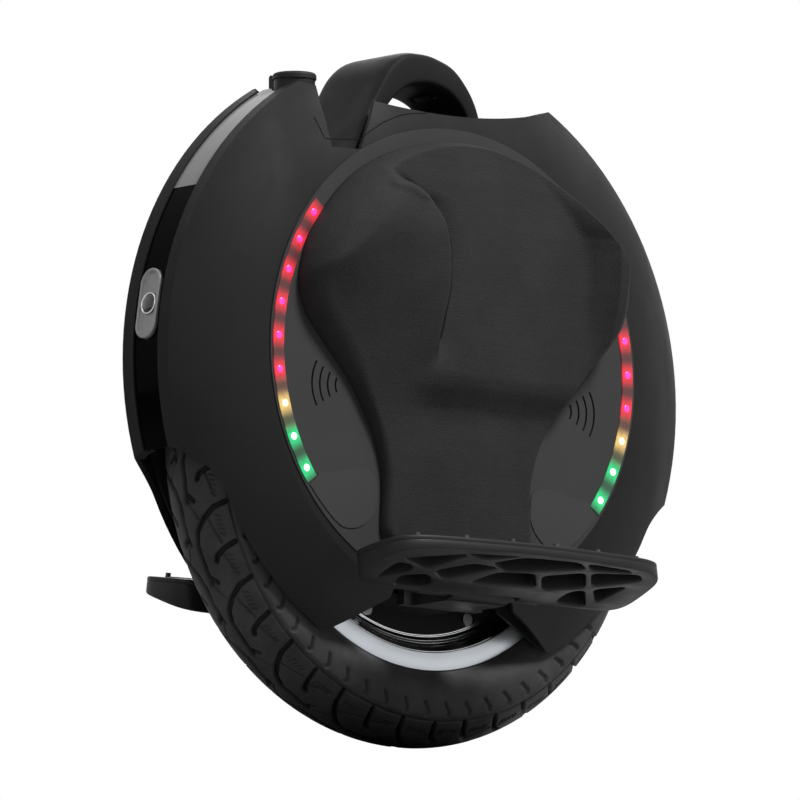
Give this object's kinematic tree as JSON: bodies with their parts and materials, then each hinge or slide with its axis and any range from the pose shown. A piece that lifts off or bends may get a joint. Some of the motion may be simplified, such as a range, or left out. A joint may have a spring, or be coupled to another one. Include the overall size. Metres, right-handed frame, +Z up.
{
  "type": "electric unicycle",
  "caption": "Self-balancing electric unicycle: wide tyre with hub motor in a round split shell, leg pads, light arcs, fold-up pedals and a telescopic loop handle.",
  "frame": {"origin": "on the ground under the axle, at the tyre's contact point", "axes": "+X forward to the headlight, +Y to the left side, +Z up"},
  "size_m": [0.4984, 0.334, 0.5214],
  "materials": {
    "tyre_rubber": "moulded tread, slightly dusty",
    "tube_rubber": "plain",
    "rim_alloy": "polished",
    "motor_black": "satin black",
    "steel": "machined",
    "magnet": "nickel plated",
    "lamination": "stacked sheets",
    "copper": "enamelled wire",
    "hanger_alloy": "black anodised",
    "frame_alloy": "plain sheet",
    "shell_plastic": "fine matt texture",
    "insert_plastic": "fine matt texture",
    "inner_plastic": "matt black",
    "panel_black": "gloss black",
    "panel_grey": "gloss grey",
    "light_guide": "translucent, with coloured points of light",
    "lamp_chrome": "bright",
    "lamp_glass": "clear",
    "tail_glass": "red",
    "pad_leather": "fine grain",
    "handle_plastic": "fine matt texture",
    "mast_alloy": "dark anodised",
    "button_plastic": "smooth",
    "port_plastic": "moulded",
    "cap_rubber": "soft touch",
    "pedal_alloy": "satin black casting",
    "grip_rubber": "abrasive grain",
    "battery_wrap": "shrink wrap",
    "circuit_board": "solder mask"
  },
  "bodies": {
    "body": {"axle": "steel", "stator": "lamination", "stator_windings": "copper", "axle_nuts": "steel", "hanger_left": "hanger_alloy", "hanger_right": "hanger_alloy", "hanger_bolts": "steel", "pedal_pins": "steel", "inner_frame_left": "frame_alloy", "inner_frame_right": "frame_alloy", "wheel_arch": "inner_plastic", "side_shell_left": "shell_plastic", "side_shell_right": "shell_plastic", "shell_screws": "steel", "insert_panel_left": "insert_plastic", "insert_panel_right": "insert_plastic", "light_strips_left": "light_guide", "light_strips_right": "light_guide", "lower_covers_left": "shell_plastic", "lower_covers_right": "shell_plastic", "speakers": "inner_plastic", "leg_pad_left": "pad_leather", "leg_pad_right": "pad_leather", "front_panel_upper": "panel_grey", "front_panel_lower": "panel_black", "rear_panel_upper": "panel_grey", "rear_panel_lower": "panel_black", "headlight_bezel": "lamp_chrome", "headlight_lens": "lamp_glass", "tail_light_bezel": "lamp_chrome", "tail_light_lens": "tail_glass", "top_tray": "inner_plastic", "battery_left": "battery_wrap", "battery_right": "battery_wrap", "heat_sink": "frame_alloy", "controller_board": "circuit_board", "mast_sleeves": "mast_alloy", "charge_port": "port_plastic"},
    "wheel": {"tyre": "tyre_rubber", "inner_tube": "tube_rubber", "rim": "rim_alloy", "valve_stem": "tube_rubber", "magnet_ring": "magnet", "motor_cover_left": "motor_black", "motor_cover_right": "motor_black", "motor_cover_screws": "steel", "motor_bearings": "steel"},
    "mast_middle": {"mast_middle": "mast_alloy"},
    "handle": {"handle": "handle_plastic", "mast_rods": "mast_alloy"},
    "lift_button": {"lift_button": "button_plastic"},
    "power_button": {"power_button": "button_plastic"},
    "charge_cap": {"charge_cap": "cap_rubber"},
    "pedal_left": {"pedal_left": "pedal_alloy", "pedal_grip_left": "grip_rubber", "pedal_studs_left": "steel"},
    "pedal_right": {"pedal_right": "pedal_alloy", "pedal_grip_right": "grip_rubber", "pedal_studs_right": "steel"}
  },
  "joints": [
    {"name": "wheel_spin", "type": "hinge", "parent": "body", "child": "wheel", "pos_m": [0, 0, 0.216], "axis": [0, 1, 0], "continuous": true},
    {"name": "pedal_left_fold", "type": "hinge", "parent": "body", "child": "pedal_left", "pos_m": [0, 0.088, 0.112], "axis": [1, 0, 0], "range_deg": [0, 78]},
    {"name": "pedal_right_fold", "type": "hinge", "parent": "body", "child": "pedal_right", "pos_m": [0, -0.088, 0.112], "axis": [-1, 0, 0], "range_deg": [0, 78]},
    {"name": "mast_middle_slide", "type": "slide", "parent": "body", "child": "mast_middle", "axis": [0, 0, 1], "range_m": [0, 0.19]},
    {"name": "handle_slide", "type": "slide", "parent": "mast_middle", "child": "handle", "axis": [0, 0, 1], "range_m": [0, 0.19]},
    {"name": "lift_button_press", "type": "slide", "parent": "handle", "child": "lift_button", "axis": [-0.342, 0, 0.9397], "range_m": [0, 0.003], "stiffness_N_per_m": 800},
    {"name": "power_button_press", "type": "slide", "parent": "body", "child": "power_button", "axis": [0, 0, -1], "range_m": [0, 0.002], "stiffness_N_per_m": 800},
    {"name": "charge_cap_flip", "type": "hinge", "parent": "body", "child": "charge_cap", "pos_m": [0.112, -0.0085, 0.4959], "axis": [1, 0, 0], "range_deg": [0, 110]}
  ]
}
